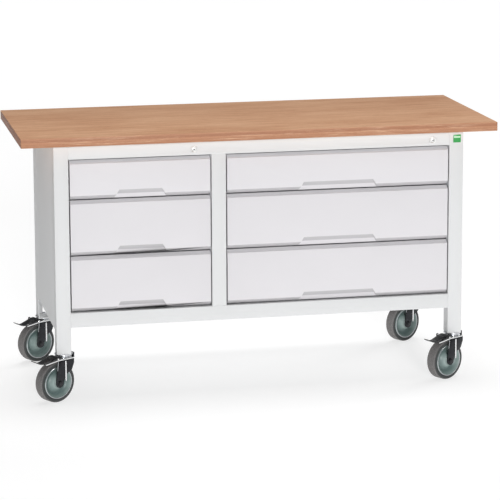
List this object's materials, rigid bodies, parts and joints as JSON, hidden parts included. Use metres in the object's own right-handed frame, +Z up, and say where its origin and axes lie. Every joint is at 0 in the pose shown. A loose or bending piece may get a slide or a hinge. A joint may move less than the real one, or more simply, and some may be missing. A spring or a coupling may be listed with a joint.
{
  "type": "mobile workbench",
  "caption": "Mobile workbench with a plywood worktop on a steel frame, two bays of drawers with finger pulls, a key lock for each bay and braked swivel castors.",
  "frame": {"origin": "on the floor, under the middle of the worktop", "axes": "+X along the bench to the right as seen from the front, front of the drawers faces -Y, +Z up"},
  "size_m": [1.5, 0.613, 0.83],
  "materials": {
    "beech_plywood": "clear satin lacquer, visible plies at the edges",
    "frame_paint": "light grey powder coat, fine texture",
    "drawer_paint": "light grey powder coat, smooth",
    "zinc": "bright zinc plate",
    "bright_lock": "nickel plate",
    "dark_steel": "blackened steel",
    "wheel_plastic": "blue-grey polyamide, semi-gloss",
    "grey_rubber": "grey non-marking rubber, matt",
    "black_plastic": "black, semi-gloss",
    "badge_green": "plain green badge, no lettering"
  },
  "bodies": {
    "root": {"worktop": "beech_plywood", "left_front_post": "frame_paint", "right_front_post": "frame_paint", "left_rear_post": "frame_paint", "right_rear_post": "frame_paint", "left_side_panel": "frame_paint", "right_side_panel": "frame_paint", "rear_panel": "frame_paint", "top_front_rail": "frame_paint", "bottom_front_rail": "frame_paint", "centre_partition": "frame_paint", "base_pan": "frame_paint", "worktop_screws": "zinc", "cabinet_runners": "zinc", "lock_housings": "bright_lock", "badge": "badge_green", "castor_heads": "zinc"},
    "left_top_drawer": {"left_top_drawer_front": "drawer_paint", "left_top_drawer_box": "drawer_paint"},
    "left_top_middle_runners": {"left_top_middle_runners": "zinc"},
    "left_middle_drawer": {"left_middle_drawer_front": "drawer_paint", "left_middle_drawer_box": "drawer_paint"},
    "left_middle_middle_runners": {"left_middle_middle_runners": "zinc"},
    "left_bottom_drawer": {"left_bottom_drawer_front": "drawer_paint", "left_bottom_drawer_box": "drawer_paint"},
    "left_bottom_middle_runners": {"left_bottom_middle_runners": "zinc"},
    "right_top_drawer": {"right_top_drawer_front": "drawer_paint", "right_top_drawer_box": "drawer_paint"},
    "right_top_middle_runners": {"right_top_middle_runners": "zinc"},
    "right_middle_drawer": {"right_middle_drawer_front": "drawer_paint", "right_middle_drawer_box": "drawer_paint"},
    "right_middle_middle_runners": {"right_middle_middle_runners": "zinc"},
    "right_bottom_drawer": {"right_bottom_drawer_front": "drawer_paint", "right_bottom_drawer_box": "drawer_paint"},
    "right_bottom_middle_runners": {"right_bottom_middle_runners": "zinc"},
    "left_lock_barrel": {"left_lock_barrel": "bright_lock"},
    "left_lock_bar": {"left_lock_bar": "zinc"},
    "right_lock_barrel": {"right_lock_barrel": "bright_lock"},
    "right_lock_bar": {"right_lock_bar": "zinc"},
    "front_left_castor": {"front_left_fork": "zinc", "front_left_axle": "dark_steel"},
    "front_left_wheel": {"front_left_wheel_centre": "wheel_plastic", "front_left_tyre": "grey_rubber"},
    "front_left_pedal": {"front_left_brake_pedal": "black_plastic"},
    "front_right_castor": {"front_right_fork": "zinc", "front_right_axle": "dark_steel"},
    "front_right_wheel": {"front_right_wheel_centre": "wheel_plastic", "front_right_tyre": "grey_rubber"},
    "front_right_pedal": {"front_right_brake_pedal": "black_plastic"},
    "rear_left_castor": {"rear_left_fork": "zinc", "rear_left_axle": "dark_steel"},
    "rear_left_wheel": {"rear_left_wheel_centre": "wheel_plastic", "rear_left_tyre": "grey_rubber"},
    "rear_left_pedal": {"rear_left_brake_pedal": "black_plastic"},
    "rear_right_castor": {"rear_right_fork": "zinc", "rear_right_axle": "dark_steel"},
    "rear_right_wheel": {"rear_right_wheel_centre": "wheel_plastic", "rear_right_tyre": "grey_rubber"},
    "rear_right_pedal": {"rear_right_brake_pedal": "black_plastic"}
  },
  "joints": [
    {"name": "left_top_drawer_slide", "type": "slide", "parent": "root", "child": "left_top_drawer", "axis": [0, -1, 0], "range_m": [0, 0.45]},
    {"name": "left_top_runner_slide", "type": "slide", "parent": "root", "child": "left_top_middle_runners", "axis": [0, -1, 0], "range_m": [0, 0.225]},
    {"name": "left_middle_drawer_slide", "type": "slide", "parent": "root", "child": "left_middle_drawer", "axis": [0, -1, 0], "range_m": [0, 0.45]},
    {"name": "left_middle_runner_slide", "type": "slide", "parent": "root", "child": "left_middle_middle_runners", "axis": [0, -1, 0], "range_m": [0, 0.225]},
    {"name": "left_bottom_drawer_slide", "type": "slide", "parent": "root", "child": "left_bottom_drawer", "axis": [0, -1, 0], "range_m": [0, 0.45]},
    {"name": "left_bottom_runner_slide", "type": "slide", "parent": "root", "child": "left_bottom_middle_runners", "axis": [0, -1, 0], "range_m": [0, 0.225]},
    {"name": "right_top_drawer_slide", "type": "slide", "parent": "root", "child": "right_top_drawer", "axis": [0, -1, 0], "range_m": [0, 0.45]},
    {"name": "right_top_runner_slide", "type": "slide", "parent": "root", "child": "right_top_middle_runners", "axis": [0, -1, 0], "range_m": [0, 0.225]},
    {"name": "right_middle_drawer_slide", "type": "slide", "parent": "root", "child": "right_middle_drawer", "axis": [0, -1, 0], "range_m": [0, 0.45]},
    {"name": "right_middle_runner_slide", "type": "slide", "parent": "root", "child": "right_middle_middle_runners", "axis": [0, -1, 0], "range_m": [0, 0.225]},
    {"name": "right_bottom_drawer_slide", "type": "slide", "parent": "root", "child": "right_bottom_drawer", "axis": [0, -1, 0], "range_m": [0, 0.45]},
    {"name": "right_bottom_runner_slide", "type": "slide", "parent": "root", "child": "right_bottom_middle_runners", "axis": [0, -1, 0], "range_m": [0, 0.225]},
    {"name": "left_lock_bar_lift", "type": "slide", "parent": "root", "child": "left_lock_bar", "axis": [0, 0, 1], "range_m": [0, 0.008]},
    {"name": "left_lock_turn", "type": "hinge", "parent": "root", "child": "left_lock_barrel", "pos_m": [-0.2135, -0.268, 0.7745], "axis": [0, -1, 0], "range_deg": [0, 90]},
    {"name": "right_lock_bar_lift", "type": "slide", "parent": "root", "child": "right_lock_bar", "axis": [0, 0, 1], "range_m": [0, 0.008]},
    {"name": "right_lock_turn", "type": "hinge", "parent": "root", "child": "right_lock_barrel", "pos_m": [0.5485, -0.268, 0.7745], "axis": [0, -1, 0], "range_deg": [0, 90]},
    {"name": "front_left_swivel", "type": "hinge", "parent": "root", "child": "front_left_castor", "pos_m": [-0.6255, -0.2455, 0.1], "axis": [0, 0, 1], "continuous": true},
    {"name": "front_left_wheel_spin", "type": "hinge", "parent": "front_left_castor", "child": "front_left_wheel", "pos_m": [-0.65497, -0.26143, 0.0625], "axis": [0.4756, -0.8796, 0], "continuous": true},
    {"name": "front_left_pedal_press", "type": "hinge", "parent": "front_left_castor", "child": "front_left_pedal", "pos_m": [-0.66069, -0.26453, 0.14], "axis": [0.4756, -0.8796, 0], "range_deg": [0, 10]},
    {"name": "front_right_swivel", "type": "hinge", "parent": "root", "child": "front_right_castor", "pos_m": [0.6255, -0.2455, 0.1], "axis": [0, 0, 1], "continuous": true},
    {"name": "front_right_wheel_spin", "type": "hinge", "parent": "front_right_castor", "child": "front_right_wheel", "pos_m": [0.59603, -0.26143, 0.0625], "axis": [0.4756, -0.8796, 0], "continuous": true},
    {"name": "front_right_pedal_press", "type": "hinge", "parent": "front_right_castor", "child": "front_right_pedal", "pos_m": [0.59031, -0.26453, 0.14], "axis": [0.4756, -0.8796, 0], "range_deg": [0, 10]},
    {"name": "rear_left_swivel", "type": "hinge", "parent": "root", "child": "rear_left_castor", "pos_m": [-0.6255, 0.2565, 0.1], "axis": [0, 0, 1], "continuous": true},
    {"name": "rear_left_wheel_spin", "type": "hinge", "parent": "rear_left_castor", "child": "rear_left_wheel", "pos_m": [-0.65497, 0.24057, 0.0625], "axis": [0.4756, -0.8796, 0], "continuous": true},
    {"name": "rear_left_pedal_press", "type": "hinge", "parent": "rear_left_castor", "child": "rear_left_pedal", "pos_m": [-0.66069, 0.23747, 0.14], "axis": [0.4756, -0.8796, 0], "range_deg": [0, 10]},
    {"name": "rear_right_swivel", "type": "hinge", "parent": "root", "child": "rear_right_castor", "pos_m": [0.6255, 0.2565, 0.1], "axis": [0, 0, 1], "continuous": true},
    {"name": "rear_right_wheel_spin", "type": "hinge", "parent": "rear_right_castor", "child": "rear_right_wheel", "pos_m": [0.59603, 0.24057, 0.0625], "axis": [0.4756, -0.8796, 0], "continuous": true},
    {"name": "rear_right_pedal_press", "type": "hinge", "parent": "rear_right_castor", "child": "rear_right_pedal", "pos_m": [0.59031, 0.23747, 0.14], "axis": [0.4756, -0.8796, 0], "range_deg": [0, 10]}
  ],
  "couplings": [
    {"joint": "left_top_runner_slide", "follows": "left_top_drawer_slide", "ratio": 0.5},
    {"joint": "left_middle_runner_slide", "follows": "left_middle_drawer_slide", "ratio": 0.5},
    {"joint": "left_bottom_runner_slide", "follows": "left_bottom_drawer_slide", "ratio": 0.5},
    {"joint": "right_top_runner_slide", "follows": "right_top_drawer_slide", "ratio": 0.5},
    {"joint": "right_middle_runner_slide", "follows": "right_middle_drawer_slide", "ratio": 0.5},
    {"joint": "right_bottom_runner_slide", "follows": "right_bottom_drawer_slide", "ratio": 0.5},
    {"joint": "left_lock_turn", "follows": "left_lock_bar_lift", "rad_per_m": 196.35},
    {"joint": "right_lock_turn", "follows": "right_lock_bar_lift", "rad_per_m": 196.35}
  ]
}
